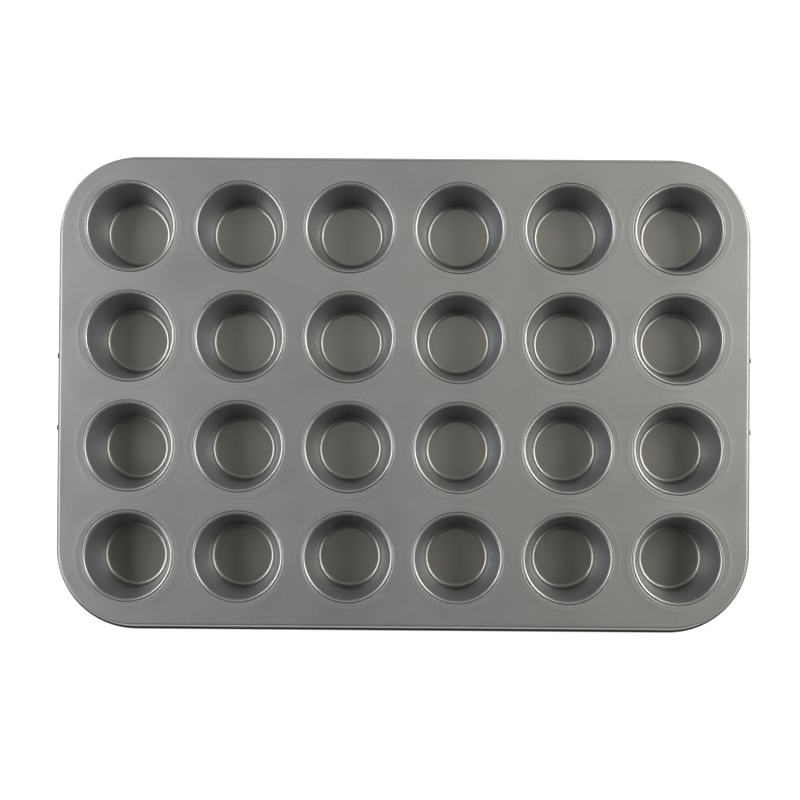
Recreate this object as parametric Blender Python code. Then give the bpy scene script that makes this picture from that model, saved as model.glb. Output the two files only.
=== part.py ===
"""A 24-cup muffin tin: 24 drawn cups locked into the holes of one wired top sheet.

The cups' undersides stand on z = 0, below the middle of the tin. +X runs along the long side.
"""

import math

import bmesh
import bpy
from mathutils import Vector

# Driving dimensions, in metres
LENGTH = 0.5207
WIDTH = 0.3560
CORNER_RADIUS = 0.0605
COLUMNS = 6
ROWS = 4
PITCH = 0.0817
SHEET_THICKNESS = 0.0005
SHEET_TOP = 0.0357
GAP = 0.0003

# The cups
CUP_TOP = 0.036
CUP_FLOOR_RADIUS = 0.0213
CUP_WALL_FOOT_RADIUS = 0.0244
CUP_MOUTH_RADIUS = 0.0312
FLOOR_FILLET_HEIGHT = 0.0032
FILLET_MIDDLE_OUT = 0.0024
FILLET_MIDDLE_UP = 0.0009
FILLET_MIDDLE_SLOPE = math.radians(40)
LIP_RADIUS = 0.0020
LIP_FOLD_RADIUS = 0.0006
CUP_FLANGE_OVERHANG = 0.00045
ROUND_SIDES = 16

# The hole collars in the top sheet
COLLAR_DEPTH = 0.0037
COLLAR_BEND = 0.0008

# The rolled rim
RIM_BEND_RADIUS = 0.0018
RIM_SKIRT_LENGTH = 0.0093
RIM_SKIRT_ANGLE = math.radians(-79)
RIM_FLARE_RADIUS = 0.0015
RIM_FLARE_ANGLE = math.radians(-25)
RIM_CURL_END_ANGLE = math.radians(-265)
WIRE_RADIUS = 0.0015
WIRE_CLEARANCE = 0.00035
WIRE_SIDES = 8
CORNER_STEPS = 5
SHARP_ANGLE = math.radians(40)

# The drain holes through the rolled rim, two in each short side
DRAIN_HOLE_RADIUS = 0.0017
DRAIN_HOLE_SPACING = 0.054
DRAIN_HOLE_SIDES = 10
DRAIN_HOLE_RISE = 0.0003
DRAIN_CUTTER_INNER_END = 0.0018
DRAIN_CUTTER_LENGTH = 0.0050

# Worked out from the driving dimensions
HALF_SHEET = SHEET_THICKNESS / 2
SHEET_MIDDLE = SHEET_TOP - HALF_SHEET
LIP_CENTRE_RADIUS = CUP_MOUTH_RADIUS + LIP_RADIUS
LIP_CENTRE_HEIGHT = CUP_TOP - LIP_RADIUS
CUP_LEG_RADIUS = LIP_CENTRE_RADIUS + LIP_FOLD_RADIUS
COLLAR_RADIUS = CUP_LEG_RADIUS + GAP
COLLAR_FOOT = SHEET_TOP - COLLAR_DEPTH
CURL_RADIUS = WIRE_RADIUS + WIRE_CLEARANCE + HALF_SHEET


def clear_scene():
    for old in list(bpy.data.objects):
        bpy.data.objects.remove(old, do_unlink=True)


def make_material(name, colour, roughness, metallic):
    material = bpy.data.materials.new(name)
    material.use_nodes = True
    shader = material.node_tree.nodes["Principled BSDF"]
    shader.inputs["Base Color"].default_value = (*colour, 1.0)
    shader.inputs["Roughness"].default_value = roughness
    shader.inputs["Metallic"].default_value = metallic
    return material


def arc(centre, radius, start, end, steps):
    """Points of a plane arc, both ends included."""
    angles = (start + (end - start) * step / steps for step in range(steps + 1))
    return [
        (centre[0] + radius * math.cos(a), centre[1] + radius * math.sin(a)) for a in angles
    ]


def circle(x, y, radius, height):
    """One ring of a turned piece that stands at x, y."""
    corners = (math.tau * (side + 0.5) / ROUND_SIDES for side in range(ROUND_SIDES))
    return [(x + radius * math.cos(a), y + radius * math.sin(a), height) for a in corners]


def rounded_outline(inset, height):
    """The tin's rounded rectangle, moved in from its overall edge by inset."""
    radius = CORNER_RADIUS - inset
    reach_x = LENGTH / 2 - CORNER_RADIUS
    reach_y = WIDTH / 2 - CORNER_RADIUS
    points = []
    for quarter, (side_x, side_y) in enumerate(((1, 1), (-1, 1), (-1, -1), (1, -1))):
        start = quarter * math.pi / 2
        corner = arc(
            (side_x * reach_x, side_y * reach_y), radius, start, start + math.pi / 2, CORNER_STEPS
        )
        points += [(x, y, height) for x, y in corner]
    return points


def add_ring(bm, points):
    return [bm.verts.new(point) for point in points]


def bridge(bm, first, second):
    """A band of quads between two rings with the same number of corners."""
    for this in range(len(first)):
        after = (this + 1) % len(first)
        bm.faces.new((first[this], first[after], second[after], second[this]))


def ring_edges(bm, ring):
    return [bm.edges.get((ring[i - 1], ring[i])) for i in range(len(ring))]


def finish_mesh(bm, name, material):
    """Turn the faces outward and make them one smooth-shaded mesh."""
    bmesh.ops.recalc_face_normals(bm, faces=bm.faces)
    mesh = bpy.data.meshes.new(name)
    bm.to_mesh(mesh)
    bm.free()
    mesh.materials.append(material)
    mesh.shade_smooth()
    mesh.set_sharp_from_angle(angle=SHARP_ANGLE)
    return mesh


def place(mesh, name, location=(0, 0, 0)):
    piece = bpy.data.objects.new(name, mesh)
    piece.location = location
    bpy.context.scene.collection.objects.link(piece)
    return piece


def cup_profile():
    """Radius and height from the underside's edge, round the lip, to the floor inside."""
    lip_centre = (LIP_CENTRE_RADIUS, LIP_CENTRE_HEIGHT)
    under_lip = arc(lip_centre, LIP_RADIUS - SHEET_THICKNESS, math.pi, math.pi / 2, 2)
    lip_fold = (CUP_LEG_RADIUS, CUP_TOP - LIP_FOLD_RADIUS)
    over_lip = [lip_fold, *arc(lip_centre, LIP_RADIUS, math.pi / 2, math.pi, 3)]
    flange_top = COLLAR_FOOT - GAP
    flange_foot = flange_top - SHEET_THICKNESS
    flange_radius = COLLAR_RADIUS + SHEET_THICKNESS + CUP_FLANGE_OVERHANG
    fillet_middle = (CUP_FLOOR_RADIUS + FILLET_MIDDLE_OUT, FILLET_MIDDLE_UP)
    inside_middle = (
        fillet_middle[0] - SHEET_THICKNESS * math.sin(FILLET_MIDDLE_SLOPE),
        fillet_middle[1] + SHEET_THICKNESS * math.cos(FILLET_MIDDLE_SLOPE),
    )
    return [
        (CUP_FLOOR_RADIUS, 0.0),
        fillet_middle,
        (CUP_WALL_FOOT_RADIUS + SHEET_THICKNESS, FLOOR_FILLET_HEIGHT),
        *under_lip,
        (CUP_LEG_RADIUS - SHEET_THICKNESS, flange_foot),
        (flange_radius, flange_foot),
        (flange_radius, flange_top),
        (CUP_LEG_RADIUS, flange_top),
        *over_lip,
        (CUP_WALL_FOOT_RADIUS, FLOOR_FILLET_HEIGHT),
        inside_middle,
        (CUP_FLOOR_RADIUS, SHEET_THICKNESS),
    ]


def build_cup_mesh(material):
    bm = bmesh.new()
    rings = [add_ring(bm, circle(0, 0, radius, height)) for radius, height in cup_profile()]
    for inner, outer in zip(rings, rings[1:]):
        bridge(bm, inner, outer)
    bm.faces.new(rings[0])
    bm.faces.new(rings[-1])
    return finish_mesh(bm, "cup", material)


def cup_centres():
    """Row 1 is the front row, column 1 is on the left."""
    for row in range(ROWS):
        for column in range(COLUMNS):
            x = (column - (COLUMNS - 1) / 2) * PITCH
            y = (row - (ROWS - 1) / 2) * PITCH
            yield row + 1, column + 1, x, y


def collar_profile():
    """Radius and height down the inside of a hole's collar and back up its outside."""
    outside = COLLAR_RADIUS + SHEET_THICKNESS
    return [
        (COLLAR_RADIUS + COLLAR_BEND, SHEET_TOP),
        (COLLAR_RADIUS, SHEET_TOP - COLLAR_BEND),
        (COLLAR_RADIUS, COLLAR_FOOT),
        (outside, COLLAR_FOOT),
        (outside, SHEET_TOP - SHEET_THICKNESS),
    ]


def rim_path():
    """Steps along the rim's middle line as outward run, height and heading.

    It bends down from the sheet, runs down the skirt, flares out and curls round the wire.
    """
    path = [(0.0, 0.0, 0.0)]

    def turn(radius, heading_end, steps):
        run, height, heading = path[-1]
        side = -1 if heading_end < heading else 1
        centre_run = run - side * radius * math.sin(heading)
        centre_height = height + side * radius * math.cos(heading)
        for step in range(1, steps + 1):
            now = heading + (heading_end - heading) * step / steps
            path.append(
                (
                    centre_run + side * radius * math.sin(now),
                    centre_height - side * radius * math.cos(now),
                    now,
                )
            )
        return centre_run, centre_height

    turn(RIM_BEND_RADIUS, RIM_SKIRT_ANGLE, 2)
    run, height, heading = path[-1]
    path.append(
        (
            run + RIM_SKIRT_LENGTH * math.cos(heading),
            height + RIM_SKIRT_LENGTH * math.sin(heading),
            heading,
        )
    )
    turn(RIM_FLARE_RADIUS, RIM_FLARE_ANGLE, 2)
    curl_centre = turn(CURL_RADIUS, RIM_CURL_END_ANGLE, 7)
    return path, curl_centre


def rim_frame():
    """The rim's path and curl centre as insets from the overall edge and true heights."""
    path, (centre_run, centre_height) = rim_path()
    edge_run = centre_run + CURL_RADIUS + HALF_SHEET
    steps = [(edge_run - run, SHEET_MIDDLE + height, heading) for run, height, heading in path]
    return steps, (edge_run - centre_run, SHEET_MIDDLE + centre_height)


def build_top_sheet(material):
    """The pierced sheet with a collar round each hole and a rolled rim round its edge."""
    bm = bmesh.new()
    upper = []
    lower = []
    for _, _, x, y in cup_centres():
        rings = [add_ring(bm, circle(x, y, r, z)) for r, z in collar_profile()]
        for this, after in zip(rings, rings[1:]):
            bridge(bm, this, after)
        upper += ring_edges(bm, rings[0])
        lower += ring_edges(bm, rings[-1])

    steps, _ = rim_frame()
    sides = {}
    for side in (1, -1):
        rings = []
        for inset, height, heading in steps:
            out = side * HALF_SHEET
            shifted = (inset + out * math.sin(heading), height + out * math.cos(heading))
            rings.append(add_ring(bm, rounded_outline(*shifted)))
        for this, after in zip(rings, rings[1:]):
            bridge(bm, this, after)
        sides[side] = rings
    bridge(bm, sides[1][-1], sides[-1][-1])
    upper += ring_edges(bm, sides[1][0])
    lower += ring_edges(bm, sides[-1][0])

    for edges in (upper, lower):
        bmesh.ops.triangle_fill(
            bm, use_beauty=True, use_dissolve=False, edges=edges, normal=Vector((0, 0, 1))
        )
    sheet = place(finish_mesh(bm, "top_sheet", material), "top_sheet")
    add_drain_holes(sheet)


def add_drain_holes(sheet):
    """Punch the drain holes through the curl's outer wall in both short sides."""
    _, (_, wire_height) = rim_frame()
    cutter_middle = LENGTH / 2 - DRAIN_CUTTER_INNER_END + DRAIN_CUTTER_LENGTH / 2
    for end in (-1, 1):
        for side in (-1, 1):
            bpy.ops.mesh.primitive_cylinder_add(
                vertices=DRAIN_HOLE_SIDES,
                radius=DRAIN_HOLE_RADIUS,
                depth=DRAIN_CUTTER_LENGTH,
                location=(
                    end * cutter_middle,
                    side * DRAIN_HOLE_SPACING / 2,
                    wire_height + DRAIN_HOLE_RISE,
                ),
                rotation=(0, math.pi / 2, 0),
            )
            cutter = bpy.context.object
            cutter.name = f"drain_cutter_{end}_{side}"
            cutter.hide_render = True
            cutter.display_type = "WIRE"
            cut = sheet.modifiers.new(cutter.name, "BOOLEAN")
            cut.operation = "DIFFERENCE"
            cut.solver = "EXACT"
            cut.object = cutter


def build_rim_wire(material):
    """The closed steel wire inside the curl."""
    bm = bmesh.new()
    _, centre = rim_frame()
    section = arc(centre, WIRE_RADIUS, 0, math.tau, WIRE_SIDES)[:-1]
    rings = [add_ring(bm, rounded_outline(inset, height)) for inset, height in section]
    for side in range(WIRE_SIDES):
        bridge(bm, rings[side - 1], rings[side])
    place(finish_mesh(bm, "rim_wire", material), "rim_wire")


def build():
    clear_scene()
    coating = make_material("non_stick_coating", (0.27, 0.27, 0.26), 0.38, 0.85)
    cup_coating = make_material("cup_non_stick_coating", (0.22, 0.22, 0.22), 0.35, 0.85)
    steel = make_material("wire_steel", (0.55, 0.55, 0.54), 0.4, 1.0)
    build_top_sheet(coating)
    build_rim_wire(steel)
    cup_mesh = build_cup_mesh(cup_coating)
    for row, column, x, y in cup_centres():
        place(cup_mesh, f"cup_r{row}_c{column}", (x, y, 0))


build()
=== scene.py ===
"""Looks of the 24-cup muffin tin: fine meshes, satin non-stick coatings, soft studio light."""

import math

import bmesh
import bpy
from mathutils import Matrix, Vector


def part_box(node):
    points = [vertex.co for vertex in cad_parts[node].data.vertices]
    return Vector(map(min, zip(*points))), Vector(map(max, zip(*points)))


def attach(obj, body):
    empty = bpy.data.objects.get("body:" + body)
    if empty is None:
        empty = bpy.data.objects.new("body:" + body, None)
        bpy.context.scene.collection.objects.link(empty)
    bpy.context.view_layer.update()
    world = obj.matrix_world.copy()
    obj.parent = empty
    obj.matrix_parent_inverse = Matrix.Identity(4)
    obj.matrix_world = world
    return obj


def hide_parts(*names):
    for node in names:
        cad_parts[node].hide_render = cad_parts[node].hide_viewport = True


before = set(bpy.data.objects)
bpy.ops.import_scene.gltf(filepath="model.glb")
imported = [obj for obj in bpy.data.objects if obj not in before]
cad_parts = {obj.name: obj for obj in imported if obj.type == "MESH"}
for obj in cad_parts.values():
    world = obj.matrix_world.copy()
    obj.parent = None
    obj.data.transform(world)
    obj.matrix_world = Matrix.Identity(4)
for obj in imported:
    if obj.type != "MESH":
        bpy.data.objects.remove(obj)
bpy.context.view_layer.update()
MM = 0.001

# The CAD's driving dimensions, read from the frame where it holds them
sheet_low, sheet_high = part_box("top_sheet")
LENGTH = sheet_high.x - sheet_low.x
WIDTH = sheet_high.y - sheet_low.y
SHEET_TOP = sheet_high.z
CUP_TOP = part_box("cup_r1_c1")[1].z
ROWS = 4
COLUMNS = 6
PITCH = 81.7 * MM
CORNER_RADIUS = 60.5 * MM
THICKNESS = 0.5 * MM
HALF_SHEET = THICKNESS / 2
SHEET_MIDDLE = SHEET_TOP - HALF_SHEET
SHARP_ANGLE = math.radians(50)

# The rolled sheet's unevenness
WAVE_HEIGHT = 0.05 * MM
WAVE_CREST = 1.0 + 0.8 + 0.5
WAVE_FADE = 30 * MM

# Cups
FLOOR_RADIUS = 21.25 * MM
FILLET_RADIUS = 3.2 * MM
LIP_RADIUS = 2.0 * MM
LIP_FOLD_RADIUS = 0.6 * MM
LIP_CENTRE_RADIUS = 33.2 * MM
LIP_CENTRE_HEIGHT = CUP_TOP - LIP_RADIUS
LEG_RADIUS = LIP_CENTRE_RADIUS + LIP_FOLD_RADIUS
FLANGE_RADIUS = 35.05 * MM
FLANGE_TOP = 31.7 * MM
FLANGE_BEND = 0.35 * MM
ROUND_SIDES = 64
FLOOR_RINGS = (0.15, 0.4, 0.65, 0.85, 0.95)
WALL_RINGS = (0.06, 0.35, 0.65, 0.94)

# How far a pressed cup is off centre, out of round, and domed in its floor
CUP_DRIFT = 0.05 * MM
CUP_OVAL = 0.03 * MM
CUP_DOME = 0.12 * MM
DOME_SPREAD = 0.6

# Collared holes
SEAM_GAP = 0.12 * MM
COLLAR_RADIUS = LEG_RADIUS + SEAM_GAP
COLLAR_BEND = 0.8 * MM
COLLAR_FOOT = SHEET_TOP - 3.7 * MM
COLLAR_STEP = 1.4 * MM
RING_RADIUS = 38.2 * MM
RING_WIDTH = 0.9 * MM
RING_HEIGHT = 0.07 * MM
RING_STEPS_MM = (35.4, 36.6, 37.3, 37.8, 38.2, 38.6, 39.1, 39.6)

# Rolled rim
RIM_BEND_RADIUS = 1.8 * MM
RIM_SKIRT_LENGTH = 9.3 * MM
RIM_SKIRT_ANGLE = math.radians(-79)
RIM_FLARE_RADIUS = 1.5 * MM
RIM_FLARE_ANGLE = math.radians(-25)
RIM_CURL_END_ANGLE = math.radians(-265)
WIRE_RADIUS = 1.5 * MM
WIRE_CLEARANCE = 0.35 * MM
WIRE_SIDES = 14
CORNER_STEPS = 16
CURL_RADIUS = WIRE_RADIUS + WIRE_CLEARANCE + HALF_SHEET
EDGE_RELIEF = 0.25 * MM

# Drain holes through the curl: each cut runs from inside the curl to beyond its outer face
DRAIN_RADIUS = 1.7 * MM
DRAIN_SPACING = 54 * MM
DRAIN_RISE = 0.3 * MM
DRAIN_SIDES = 24
DRAIN_CUT_IN = 1.9 * MM
DRAIN_CUT_OUT = 3 * MM
DRAIN_LIP = 0.4 * MM
DRAIN_LIP_BACK = 1.4 * MM
DRAIN_LIP_FRONT = 0.03 * MM
DRAIN_LIP_ROUND = 0.1 * MM

# Painted shade: the sheet's colour darkens from the top height down to the foot height, the more
# so away from this side, towards the front left
SHADE_FOOT = 27 * MM
SHADE_TOP = 34.5 * MM
SHADE_AWAY_FROM = (0.5, 1.0, 0.0)
SHADE_REACH = 90 * MM
SHADE_TONE = 0.12

# Handling has rubbed the bends smoother than the flat sheet
RUBBED_BELOW = SHEET_TOP - 0.6 * MM
FLAT_ABOVE = SHEET_TOP - 0.15 * MM
RUBBED_SHARE = 0.74

# Tints up a cup from its floor: warmer floor, plain corner, cooler and lighter wall as painted
# cool light, lighter lip as a painted highlight
CUP_TINTS_AND_PAINTED_LIGHT = (
    (1.0 * MM, (0.87, 0.85, 0.80)),
    (2.4 * MM, (0.86, 0.86, 0.86)),
    (8.0 * MM, (0.88, 0.93, 1.0)),
    (32.0 * MM, (0.88, 0.93, 1.0)),
    (34.5 * MM, (1.0, 1.0, 1.0)),
)


def waviness(x, y):
    """The rolled sheet's slight unevenness, a hair below the stiff rim it fades out towards."""
    edge = min(LENGTH / 2 - abs(x), WIDTH / 2 - abs(y)) / WAVE_FADE
    fade = max(0.0, min(1.0, edge))
    wave = (
        math.sin(x * 29 + y * 17 + 0.6)
        + 0.8 * math.sin(x * -19 + y * 37 + 2.1)
        + 0.5 * math.sin(x * 53 + y * -31 + 4.0)
    )
    return WAVE_HEIGHT * fade * (wave - WAVE_CREST)


def arc(centre, radius, start, end, steps):
    angles = (start + (end - start) * step / steps for step in range(steps + 1))
    return [
        (centre[0] + radius * math.cos(a), centre[1] + radius * math.sin(a)) for a in angles
    ]


def bridge(bm, first, second):
    for this in range(len(first)):
        after = (this + 1) % len(first)
        bm.faces.new((first[this], first[after], second[after], second[this]))


def make_piece(bm, name, material, nodes):
    bmesh.ops.recalc_face_normals(bm, faces=bm.faces)
    mesh = bpy.data.meshes.new(name)
    bm.to_mesh(mesh)
    bm.free()
    mesh.materials.append(material)
    mesh.shade_smooth()
    mesh.set_sharp_from_angle(angle=SHARP_ANGLE)
    piece = bpy.data.objects.new(name, mesh)
    bpy.context.scene.collection.objects.link(piece)
    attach(piece, "root")
    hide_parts(*nodes)
    return piece


# ---------------------------------------------------------------- cups


def cup_profile():
    """Inner and outer skins of a drawn cup as (radius, height), from the floor's middle out."""
    fillet_centre = (FLOOR_RADIUS, THICKNESS + FILLET_RADIUS)
    lip_centre = (LIP_CENTRE_RADIUS, LIP_CENTRE_HEIGHT)
    fold_centre = (LIP_CENTRE_RADIUS, CUP_TOP - LIP_FOLD_RADIUS)
    lean = math.atan2(
        LIP_CENTRE_RADIUS - LIP_RADIUS - FLOOR_RADIUS - FILLET_RADIUS,
        LIP_CENTRE_HEIGHT - fillet_centre[1],
    )

    def skin(offset):
        floor = [(FLOOR_RADIUS * share, THICKNESS + offset) for share in FLOOR_RINGS]
        fillet = arc(fillet_centre, FILLET_RADIUS - offset, -math.pi / 2, -lean, 7)
        lip = arc(lip_centre, LIP_RADIUS + offset, math.pi - lean, math.pi / 2, 9)
        lip += arc(fold_centre, LIP_FOLD_RADIUS + offset, math.pi / 2, 0, 6)[1:]
        wall_foot = fillet[-1]
        wall_head = lip[0]
        wall = [
            (
                wall_foot[0] + (wall_head[0] - wall_foot[0]) * share,
                wall_foot[1] + (wall_head[1] - wall_foot[1]) * share,
            )
            for share in WALL_RINGS
        ]
        return floor + fillet + wall + lip

    bend_centre = (LEG_RADIUS + FLANGE_BEND, FLANGE_TOP + FLANGE_BEND)
    upper = skin(0.0)
    lower = skin(-THICKNESS)
    upper += arc(bend_centre, FLANGE_BEND, math.pi, math.pi * 1.5, 3)
    lower += arc(bend_centre, FLANGE_BEND + THICKNESS, math.pi, math.pi * 1.5, 3)
    upper.append((FLANGE_RADIUS, FLANGE_TOP))
    lower.append((FLANGE_RADIUS, FLANGE_TOP - THICKNESS))
    return upper + lower[::-1]


def build_cup(row, column, material):
    """One drawn cup, a hair off centre and out of true as pressed and crimped cups are."""
    x = (column - (COLUMNS + 1) / 2) * PITCH
    y = (row - (ROWS + 1) / 2) * PITCH
    key = row * 2.399 + column * 3.883
    shift_x = CUP_DRIFT * math.sin(key * 3.1)
    shift_y = CUP_DRIFT * math.cos(key * 2.3)
    lift = waviness(x, y)
    dome = CUP_DOME * (1.0 + DOME_SPREAD * math.sin(key * 1.7))
    phase = key * 1.3
    bm = bmesh.new()
    rings = []
    for radius, height in cup_profile():
        ring = []
        high = height / CUP_TOP
        floor_share = max(0.0, 1.0 - radius / FLOOR_RADIUS) if height < 2 * THICKNESS else 0.0
        for side in range(ROUND_SIDES):
            angle = math.tau * side / ROUND_SIDES
            true = radius + CUP_OVAL * high * math.cos(2 * (angle - phase))
            ring.append(
                bm.verts.new(
                    (
                        x + shift_x + true * math.cos(angle),
                        y + shift_y + true * math.sin(angle),
                        height + lift * high + dome * floor_share,
                    )
                )
            )
        rings.append(ring)
    for this, after in zip(rings, rings[1:]):
        bridge(bm, this, after)
    bm.faces.new(rings[0])
    bm.faces.new(rings[-1])
    name = f"cup_r{row}_c{column}"
    make_piece(bm, f"{name}_drawn", material, [name])


# ---------------------------------------------------------------- top sheet


def rim_path():
    """(run outwards, height, heading) along the rim's middle line, and the curl's centre."""
    path = [(0.0, 0.0, 0.0)]

    def turn(radius, heading_end, steps):
        run, height, heading = path[-1]
        side = -1 if heading_end < heading else 1
        centre_run = run - side * radius * math.sin(heading)
        centre_height = height + side * radius * math.cos(heading)
        for step in range(1, steps + 1):
            now = heading + (heading_end - heading) * step / steps
            path.append(
                (
                    centre_run + side * radius * math.sin(now),
                    centre_height - side * radius * math.cos(now),
                    now,
                )
            )
        return centre_run, centre_height

    def straight(length, steps):
        run, height, heading = path[-1]
        for step in range(1, steps + 1):
            along = length * step / steps
            path.append(
                (run + along * math.cos(heading), height + along * math.sin(heading), heading)
            )

    turn(RIM_BEND_RADIUS, RIM_SKIRT_ANGLE, 8)
    straight(RIM_SKIRT_LENGTH, 3)
    turn(RIM_FLARE_RADIUS, RIM_FLARE_ANGLE, 6)
    centre = turn(CURL_RADIUS, RIM_CURL_END_ANGLE, 22)
    return path, centre


RIM_PATH, CURL_CENTRE = rim_path()
RIM_RUN = CURL_CENTRE[0] + CURL_RADIUS + HALF_SHEET + EDGE_RELIEF
FLAT_HALF_LENGTH = LENGTH / 2 - RIM_RUN
FLAT_HALF_WIDTH = WIDTH / 2 - RIM_RUN
FLAT_CORNER = CORNER_RADIUS - RIM_RUN
WIRE_HEIGHT = SHEET_MIDDLE + CURL_CENTRE[1]


def cell_sides(column, row):
    """Low and high x and y of the flat sheet that belongs to one hole."""
    x = (column - (COLUMNS + 1) / 2) * PITCH
    y = (row - (ROWS + 1) / 2) * PITCH
    low_x = -FLAT_HALF_LENGTH if column == 1 else x - PITCH / 2
    high_x = FLAT_HALF_LENGTH if column == COLUMNS else x + PITCH / 2
    low_y = -FLAT_HALF_WIDTH if row == 1 else y - PITCH / 2
    high_y = FLAT_HALF_WIDTH if row == ROWS else y + PITCH / 2
    return x, y, low_x, high_x, low_y, high_y


def cell_boundary(column, row):
    """Points round a cell, from its low-x low-y corner, a quarter of them on each side.

    A corner cell's two outer sides meet in the sheet's rounded corner.
    """
    _, _, low_x, high_x, low_y, high_y = cell_sides(column, row)
    quarter = ROUND_SIDES // 4
    corners = [(low_x, low_y), (high_x, low_y), (high_x, high_y), (low_x, high_y)]
    rounds = [
        column == 1 and row == 1,
        column == COLUMNS and row == 1,
        column == COLUMNS and row == ROWS,
        column == 1 and row == ROWS,
    ]
    points = []
    for side in range(4):
        start, end = Vector(corners[side]), Vector(corners[(side + 1) % 4])
        along = (end - start).normalized()
        inward = Vector((-along.y, along.x))
        half = quarter // 2
        for step in range(quarter):
            if rounds[side] and step < half:
                turned = math.pi / 4 * (1 - step / half)
                centre = start + (along + inward) * FLAT_CORNER
                spoke = inward * math.cos(turned) + along * math.sin(turned)
                point = centre - spoke * FLAT_CORNER
            elif rounds[side]:
                arc_end = start + along * FLAT_CORNER
                point = arc_end + (end - arc_end) * ((step - half) / half)
            elif rounds[(side + 1) % 4] and step > half:
                turned = math.pi / 4 * (step - half) / half
                centre = end + (inward - along) * FLAT_CORNER
                spoke = inward * math.cos(turned) - along * math.sin(turned)
                point = centre - spoke * FLAT_CORNER
            elif rounds[(side + 1) % 4]:
                arc_start = end - along * FLAT_CORNER
                point = start + (arc_start - start) * (step / half)
            else:
                point = start + (end - start) * (step / quarter)
            points.append((point.x, point.y))
    return points


def emboss(radius):
    return RING_HEIGHT * math.exp(-(((radius - RING_RADIUS) / RING_WIDTH) ** 2))


def hole_profile(under):
    """(radius, height above the sheet's face) from the collar's foot to past the embossed ring."""
    bend = COLLAR_BEND - THICKNESS if under else COLLAR_BEND
    wall = COLLAR_RADIUS + (THICKNESS if under else 0.0)
    top = SHEET_TOP - (THICKNESS if under else 0.0)
    points = [(wall, COLLAR_FOOT), (wall, COLLAR_FOOT + COLLAR_STEP)]
    points += arc((wall + bend, top - bend), bend, math.pi, math.pi / 2, 3 if under else 6)
    points += [(r * MM, top + emboss(r * MM)) for r in RING_STEPS_MM]
    return points


def outline_normal(x, y):
    """Outward direction of the flat sheet's outline at a point on it."""
    reach = Vector((FLAT_HALF_LENGTH - FLAT_CORNER, FLAT_HALF_WIDTH - FLAT_CORNER))
    inner = Vector((max(-reach.x, min(reach.x, x)), max(-reach.y, min(reach.y, y))))
    return (Vector((x, y)) - inner).normalized()


def build_face(bm, under):
    """One face of the pierced sheet. Returns its outline's points and each hole's foot ring."""
    shared = {}
    outline = {}
    feet = {}
    shift = THICKNESS if under else 0.0
    profile = hole_profile(under)
    last = profile[-1][0]
    turns = [math.pi * 1.25 + math.tau * s / ROUND_SIDES for s in range(ROUND_SIDES)]

    def shared_vertex(x, y):
        key = (round(x / MM, 2), round(y / MM, 2))
        if key not in shared:
            shared[key] = bm.verts.new((x, y, SHEET_TOP - shift + waviness(x, y)))
        return shared[key]

    for row in range(1, ROWS + 1):
        for column in range(1, COLUMNS + 1):
            x, y, *_ = cell_sides(column, row)
            boundary = cell_boundary(column, row)
            rings = []
            for radius, height in profile:
                ring = []
                for turn in turns:
                    px, py = x + radius * math.cos(turn), y + radius * math.sin(turn)
                    ring.append(bm.verts.new((px, py, height + waviness(px, py))))
                rings.append(ring)
            for share in (0.25, 0.5, 0.75):
                ring = []
                for turn, (bx, by) in zip(turns, boundary):
                    px = x + last * math.cos(turn) * (1 - share) + (bx - x) * share
                    py = y + last * math.sin(turn) * (1 - share) + (by - y) * share
                    ring.append(bm.verts.new((px, py, SHEET_TOP - shift + waviness(px, py))))
                rings.append(ring)
            rings.append([shared_vertex(bx, by) for bx, by in boundary])
            for this, after in zip(rings, rings[1:]):
                bridge(bm, this, after)
            feet[column, row] = rings[0]
    for key, vertex in shared.items():
        x, y = vertex.co.x, vertex.co.y
        on_side = abs(abs(x) - FLAT_HALF_LENGTH) < 1e-6 or abs(abs(y) - FLAT_HALF_WIDTH) < 1e-6
        in_corner = (
            abs(x) > FLAT_HALF_LENGTH - FLAT_CORNER and abs(y) > FLAT_HALF_WIDTH - FLAT_CORNER
        )
        if on_side or in_corner:
            outline[key] = vertex
    around = sorted(outline.values(), key=lambda v: math.atan2(v.co.y, v.co.x))
    return around, feet


def round_bar(bm, section, y):
    """Rings of a (x, radius) section turned about the line along X through a drain hole."""
    rings = []
    for x, radius in section:
        ring = []
        for side in range(DRAIN_SIDES):
            angle = math.tau * side / DRAIN_SIDES
            height = WIRE_HEIGHT + DRAIN_RISE + radius * math.sin(angle)
            ring.append(bm.verts.new((x, y + radius * math.cos(angle), height)))
        rings.append(ring)
    return rings


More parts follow.
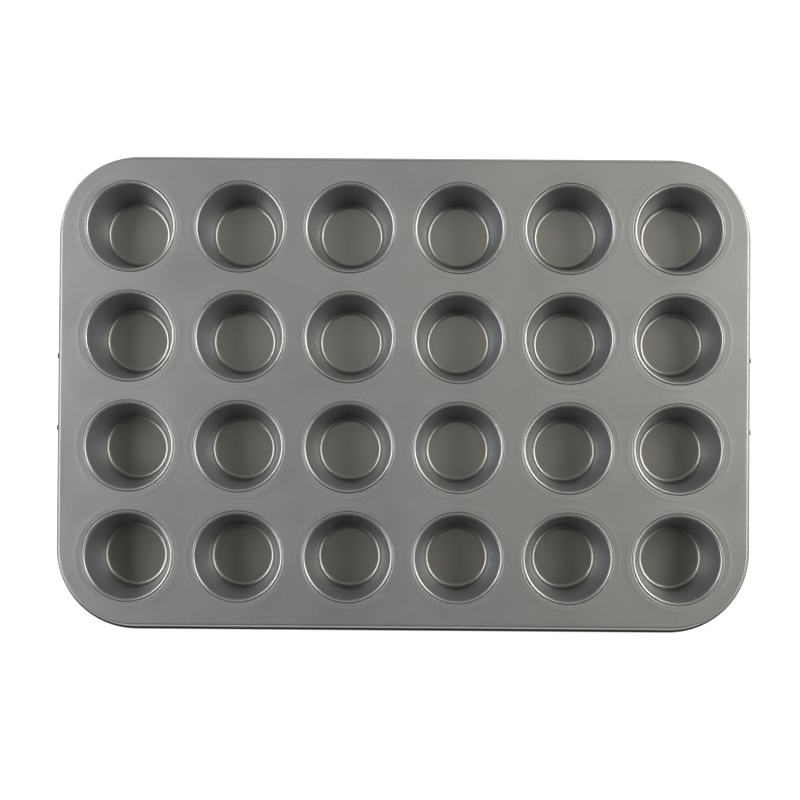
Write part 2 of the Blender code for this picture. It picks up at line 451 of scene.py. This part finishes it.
def pierce_drain_holes(sheet):
    """Four holes punched through the curl from the ends, each with a turned-out lip."""
    cutters = bmesh.new()
    lips = bmesh.new()
    face = LENGTH / 2
    for end in (-1, 1):
        for y in (-DRAIN_SPACING / 2, DRAIN_SPACING / 2):
            inner, outer = end * (face - DRAIN_CUT_IN), end * (face + DRAIN_CUT_OUT)
            start, finish = round_bar(cutters, [(inner, DRAIN_RADIUS), (outer, DRAIN_RADIUS)], y)
            bridge(cutters, start, finish)
            cutters.faces.new(start)
            cutters.faces.new(finish)
            back, front = end * (face - DRAIN_LIP_BACK), end * (face - DRAIN_LIP_FRONT)
            wide = DRAIN_RADIUS + DRAIN_LIP
            around = round_bar(
                lips,
                [
                    (back, DRAIN_RADIUS),
                    (front, DRAIN_RADIUS + DRAIN_LIP_ROUND),
                    (front, wide - DRAIN_LIP_ROUND),
                    (back, wide),
                ],
                y,
            )
            for this in range(4):
                bridge(lips, around[this - 1], around[this])
    tool_mesh = bpy.data.meshes.new("drain_cutters")
    bmesh.ops.recalc_face_normals(cutters, faces=cutters.faces)
    cutters.to_mesh(tool_mesh)
    cutters.free()
    tool = bpy.data.objects.new("drain_cutters", tool_mesh)
    bpy.context.scene.collection.objects.link(tool)
    cut = sheet.modifiers.new("drain_holes", "BOOLEAN")
    cut.solver = "EXACT"
    cut.object = tool
    pierced = sheet.evaluated_get(bpy.context.evaluated_depsgraph_get())
    mesh = bpy.data.meshes.new_from_object(pierced)
    sheet.modifiers.clear()
    bpy.data.objects.remove(tool, do_unlink=True)
    bmesh.ops.recalc_face_normals(lips, faces=lips.faces)
    lips.from_mesh(mesh)
    lips.to_mesh(mesh)
    lips.free()
    mesh.name = "top_sheet_pierced"
    mesh.shade_smooth()
    mesh.set_sharp_from_angle(angle=SHARP_ANGLE)
    sheet.data = mesh


def build_top_sheet(material):
    """The pierced sheet's two faces, joined round each hole and by the rim's two skins."""
    bm = bmesh.new()
    upper, upper_feet = build_face(bm, under=False)
    lower, lower_feet = build_face(bm, under=True)
    for place, ring in upper_feet.items():
        bridge(bm, ring, lower_feet[place])
    ends = []
    for start_ring, side in ((upper, 1), (lower, -1)):
        previous = start_ring
        for run, height, heading in RIM_PATH[1:]:
            out = side * HALF_SHEET
            shifted_run = run - out * math.sin(heading)
            shifted_height = SHEET_MIDDLE + height + out * math.cos(heading)
            ring = []
            for vertex in start_ring:
                normal = outline_normal(vertex.co.x, vertex.co.y)
                ring.append(
                    bm.verts.new(
                        (
                            vertex.co.x + normal.x * shifted_run,
                            vertex.co.y + normal.y * shifted_run,
                            shifted_height,
                        )
                    )
                )
            bridge(bm, previous, ring)
            previous = ring
        ends.append(previous)
    bridge(bm, ends[0], ends[1])
    sheet = make_piece(bm, "top_sheet_pressed", material, ["top_sheet"])
    pierce_drain_holes(sheet)


def build_rim_wire(material):
    """A closed wire ring that follows the curl's centre round the tin."""
    bm = bmesh.new()
    section = arc(CURL_CENTRE, WIRE_RADIUS, 0, math.tau, WIRE_SIDES)[:-1]
    outline = []
    corner_x = FLAT_HALF_LENGTH - FLAT_CORNER
    corner_y = FLAT_HALF_WIDTH - FLAT_CORNER
    for quarter, (side_x, side_y) in enumerate(((1, 1), (-1, 1), (-1, -1), (1, -1))):
        start = quarter * math.pi / 2
        cx, cy = side_x * corner_x, side_y * corner_y
        for x, y in arc((cx, cy), 1.0, start, start + math.pi / 2, CORNER_STEPS):
            outline.append((cx, cy, x - cx, y - cy))
    rings = []
    for run, height in section:
        reach = FLAT_CORNER + run
        rings.append(
            [
                bm.verts.new((cx + nx * reach, cy + ny * reach, SHEET_MIDDLE + height))
                for cx, cy, nx, ny in outline
            ]
        )
    for side in range(len(rings)):
        bridge(bm, rings[side - 1], rings[side])
    make_piece(bm, "rim_wire_drawn", material, ["rim_wire"])


# ---------------------------------------------------------------- materials

COATING_METAL = 0.7
CLOUD_SCALE = 14.0
GRAIN_SCALE = 900.0
GLOSS_SCALE = 30.0
GLOSS_SPREAD = 0.02
GRAIN_DEPTH = 0.02 * MM


def ranged(nodes, links, value, low, high, to_low, to_high):
    """An output that follows value from low..high to to_low..to_high, and its node."""
    node = nodes.new("ShaderNodeMapRange")
    node.inputs["From Min"].default_value = low
    node.inputs["From Max"].default_value = high
    node.inputs["To Min"].default_value = to_low
    node.inputs["To Max"].default_value = to_high
    links.new(value, node.inputs["Value"])
    return node.outputs["Result"], node


def height_of(nodes, links, coordinates):
    split = nodes.new("ShaderNodeSeparateXYZ")
    links.new(coordinates, split.inputs["Vector"])
    return split.outputs["Z"]


def painted_shade_below_top(nodes, links, coordinates, colour):
    """Painted shade: the sheet's rim and hole collars darken low down, the more so towards the
    front left.
    """
    across = nodes.new("ShaderNodeVectorMath")
    across.operation = "DOT_PRODUCT"
    links.new(coordinates, across.inputs[0])
    across.inputs[1].default_value = SHADE_AWAY_FROM
    side, _ = ranged(
        nodes, links, across.outputs["Value"], -SHADE_REACH, SHADE_REACH, SHADE_TONE, 1.0
    )
    height = height_of(nodes, links, coordinates)
    tone, shade_by_height = ranged(nodes, links, height, SHADE_FOOT, SHADE_TOP, SHADE_TONE, 1.0)
    links.new(side, shade_by_height.inputs["To Min"])
    toned = nodes.new("ShaderNodeVectorMath")
    toned.operation = "SCALE"
    links.new(colour, toned.inputs["Vector"])
    links.new(tone, toned.inputs["Scale"])
    return toned.outputs["Vector"]


def cup_tints_and_painted_light(nodes, links, coordinates, colour):
    """Tints a cup's coating by height: warmer on its floor, cooler and lighter up its wall as
    painted cool light, and lightest at the lip as a painted highlight.
    """
    height = height_of(nodes, links, coordinates)
    share, _ = ranged(nodes, links, height, 0.0, CUP_TOP, 0.0, 1.0)
    tints = nodes.new("ShaderNodeValToRGB")
    links.new(share, tints.inputs["Fac"])
    stops = tints.color_ramp.elements
    while len(stops) < len(CUP_TINTS_AND_PAINTED_LIGHT):
        stops.new(0.5)
    for stop, (at, tint) in zip(stops, CUP_TINTS_AND_PAINTED_LIGHT):
        stop.position = at / CUP_TOP
        stop.color = (*tint, 1)
    tinted = nodes.new("ShaderNodeVectorMath")
    tinted.operation = "MULTIPLY"
    links.new(colour, tinted.inputs[0])
    links.new(tints.outputs["Color"], tinted.inputs[1])
    return tinted.outputs["Vector"]


def rubbed_bends(nodes, links, coordinates, gloss):
    """Roughness of the flat sheet, less on its bends."""
    height = height_of(nodes, links, coordinates)
    share, _ = ranged(nodes, links, height, RUBBED_BELOW, FLAT_ABOVE, RUBBED_SHARE, 1.0)
    smoothed = nodes.new("ShaderNodeMath")
    smoothed.operation = "MULTIPLY"
    links.new(gloss, smoothed.inputs[0])
    links.new(share, smoothed.inputs[1])
    return smoothed.outputs["Value"]


def satin_coating(
    name, dark, light, roughness, speckle, relief, painted_light_tint=None, finish_gloss=None
):
    """Sprayed non-stick coating: fine grain, faint cloudy tone and patchy gloss."""
    material = bpy.data.materials.new(name)
    material.use_nodes = True
    nodes = material.node_tree.nodes
    links = material.node_tree.links
    shader = nodes["Principled BSDF"]
    shader.inputs["Metallic"].default_value = COATING_METAL
    coordinates = nodes.new("ShaderNodeTexCoord").outputs["Object"]

    def noise(scale, detail):
        node = nodes.new("ShaderNodeTexNoise")
        node.inputs["Scale"].default_value = scale
        node.inputs["Detail"].default_value = detail
        links.new(coordinates, node.inputs["Vector"])
        return node.outputs["Fac"]

    clouds = noise(CLOUD_SCALE, 4.0)
    grain = noise(GRAIN_SCALE, 3.0)
    blend = nodes.new("ShaderNodeMath")
    blend.operation = "MULTIPLY_ADD"
    links.new(grain, blend.inputs[0])
    blend.inputs[1].default_value = speckle
    links.new(clouds, blend.inputs[2])
    ramp = nodes.new("ShaderNodeValToRGB")
    ramp.color_ramp.elements[0].position = 0.3 + 0.3 * speckle
    ramp.color_ramp.elements[0].color = (*dark, 1)
    ramp.color_ramp.elements[1].position = 0.7 + 0.7 * speckle
    ramp.color_ramp.elements[1].color = (*light, 1)
    links.new(blend.outputs[0], ramp.inputs["Fac"])
    colour = ramp.outputs["Color"]
    # Painted light goes in here: painted shade on the sheet's rim, painted cool light and a
    # painted highlight on the cups.
    if painted_light_tint:
        colour = painted_light_tint(nodes, links, coordinates, colour)
    links.new(colour, shader.inputs["Base Color"])
    patches = noise(GLOSS_SCALE, 5.0)
    dull, bright = roughness + GLOSS_SPREAD, roughness - GLOSS_SPREAD
    gloss, _ = ranged(nodes, links, patches, 0.3, 0.7, bright, dull)
    if finish_gloss:
        gloss = finish_gloss(nodes, links, coordinates, gloss)
    links.new(gloss, shader.inputs["Roughness"])
    if relief:
        bump = nodes.new("ShaderNodeBump")
        bump.inputs["Strength"].default_value = relief
        bump.inputs["Distance"].default_value = GRAIN_DEPTH
        links.new(grain, bump.inputs["Height"])
        links.new(bump.outputs["Normal"], shader.inputs["Normal"])
    return material


def wire_steel():
    """Plain drawn wire, lightly tarnished."""
    material = satin_coating(
        "drawn_wire",
        dark=(0.40, 0.39, 0.37),
        light=(0.56, 0.55, 0.53),
        roughness=0.36,
        speckle=0.2,
        relief=0.1,
    )
    material.node_tree.nodes["Principled BSDF"].inputs["Metallic"].default_value = 1.0
    return material


FLOOR_REACH = 12.0
FLOOR_DROP = 0.3 * MM
FLOOR_TONE = 0.3
FLOOR_GLOW = 0.85


def plain_floor():
    """A pale floor just below the cups, which glows so that it stays white in every view."""
    material = bpy.data.materials.new("pale_floor")
    material.use_nodes = True
    shader = material.node_tree.nodes["Principled BSDF"]
    shader.inputs["Base Color"].default_value = (FLOOR_TONE, FLOOR_TONE, FLOOR_TONE, 1)
    shader.inputs["Roughness"].default_value = 0.9
    shader.inputs["Emission Color"].default_value = (1, 1, 1, 1)
    shader.inputs["Emission Strength"].default_value = FLOOR_GLOW
    mesh = bpy.data.meshes.new("floor")
    signs = ((-1, -1), (1, -1), (1, 1), (-1, 1))
    corners = [(x * FLOOR_REACH, y * FLOOR_REACH, 0) for x, y in signs]
    mesh.from_pydata(corners, [], [(0, 1, 2, 3)])
    mesh.materials.append(material)
    floor = bpy.data.objects.new("floor", mesh)
    floor.location.z = -FLOOR_DROP
    bpy.context.scene.collection.objects.link(floor)


# ---------------------------------------------------------------- light and camera


COOL = (0.95, 0.98, 1.0)
WARM = (1.0, 0.99, 0.96)
PLAIN = (1, 0.99, 0.97)

# Name, place, length and width, watts and colour of each softbox; all of them face the tin
SOFTBOXES = (
    ("left_side", (-1.3, 0, 1.1), (1.6, 0.6), 25.0, COOL),
    ("left_back", (-1.2, 0.6, 1.1), (1.2, 0.6), 5.5, COOL),
    ("left_low", (-1.4, 0, 0.5), (1.2, 0.5), 2.5, COOL),
    ("left_top", (-0.6, 0.6, 1.9), (1.0, 0.4), 0.5, COOL),
    ("right_side", (1.3, 0, 1.1), (1.6, 0.6), 19.2, WARM),
    ("right_back", (1.2, 0.6, 1.1), (1.2, 0.6), 12.6, WARM),
    ("right_low", (1.4, 0.6, 0.5), (1.2, 0.5), 7.4, WARM),
    ("right_top", (0.6, 0.6, 1.9), (1.0, 0.4), 0.9, WARM),
    ("back_top", (0, 0.6, 2.3), (0.9, 0.9), 1.5, PLAIN),
    ("back_high", (0, 1.4, 2.0), (1.2, 0.5), 0.8, PLAIN),
    ("overhead", (0, 0, 2.4), (0.9, 0.9), 0.9, PLAIN),
)

# The world lights little, and stands pale behind the floor's far edge
WORLD_LIGHT = 0.03
BACKDROP = 0.85


def build_softboxes():
    for name, place, (length, width), power, colour in SOFTBOXES:
        data = bpy.data.lights.new(name, "AREA")
        data.shape = "RECTANGLE"
        data.size = length
        data.size_y = width
        data.energy = power
        data.color = colour
        light = bpy.data.objects.new(name, data)
        light.location = place
        facing = Vector((0, 0, 0)) - Vector(place)
        light.rotation_euler = facing.to_track_quat("-Z", "Y").to_euler()
        bpy.context.scene.collection.objects.link(light)


def build_world():
    world = bpy.data.worlds.new("studio")
    world.use_nodes = True
    nodes = world.node_tree.nodes
    links = world.node_tree.links
    nodes["Background"].inputs["Color"].default_value = (1, 1, 1, 1)
    seen = nodes.new("ShaderNodeLightPath").outputs["Is Camera Ray"]
    strength, _ = ranged(nodes, links, seen, 0.0, 1.0, WORLD_LIGHT, BACKDROP)
    links.new(strength, nodes["Background"].inputs["Strength"])
    bpy.context.scene.world = world


# The camera hangs over the front half of the tin and its lens is shifted to take in the back
CAMERA_PLACE = (0.0099, -0.0844, 0.9863)
CAMERA_TURN = (0.00967, 0.00259, 0.0075)
LENS = 57.73
SHIFT_X = -0.0161
SHIFT_Y = 0.1176


def build_camera():
    data = bpy.data.cameras.new("camera")
    data.sensor_width = 36.0
    data.lens = LENS
    data.shift_x = SHIFT_X
    data.shift_y = SHIFT_Y
    camera = bpy.data.objects.new("camera", data)
    camera.location = CAMERA_PLACE
    camera.rotation_euler = CAMERA_TURN
    bpy.context.scene.collection.objects.link(camera)
    bpy.context.scene.camera = camera


def main():
    sheet_coating = satin_coating(
        "sheet_coating_satin",
        dark=(0.204, 0.207, 0.201),
        light=(0.259, 0.260, 0.250),
        roughness=0.40,
        speckle=0.9,
        relief=0.6,
        # painted shade on the sheet, darker low down and towards the front left
        painted_light_tint=painted_shade_below_top,
        finish_gloss=rubbed_bends,
    )
    cup_coating = satin_coating(
        "cup_coating_satin",
        dark=(0.265, 0.262, 0.252),
        light=(0.309, 0.305, 0.291),
        roughness=0.305,
        speckle=0.1,
        relief=0.0,
        # warmer floor, painted cool light on the walls and a painted highlight on the lips
        painted_light_tint=cup_tints_and_painted_light,
    )
    build_top_sheet(sheet_coating)
    build_rim_wire(wire_steel())
    for row in range(1, ROWS + 1):
        for column in range(1, COLUMNS + 1):
            build_cup(row, column, cup_coating)
    plain_floor()
    build_softboxes()
    build_world()
    build_camera()
    bpy.context.scene.view_settings.view_transform = "Standard"


main()
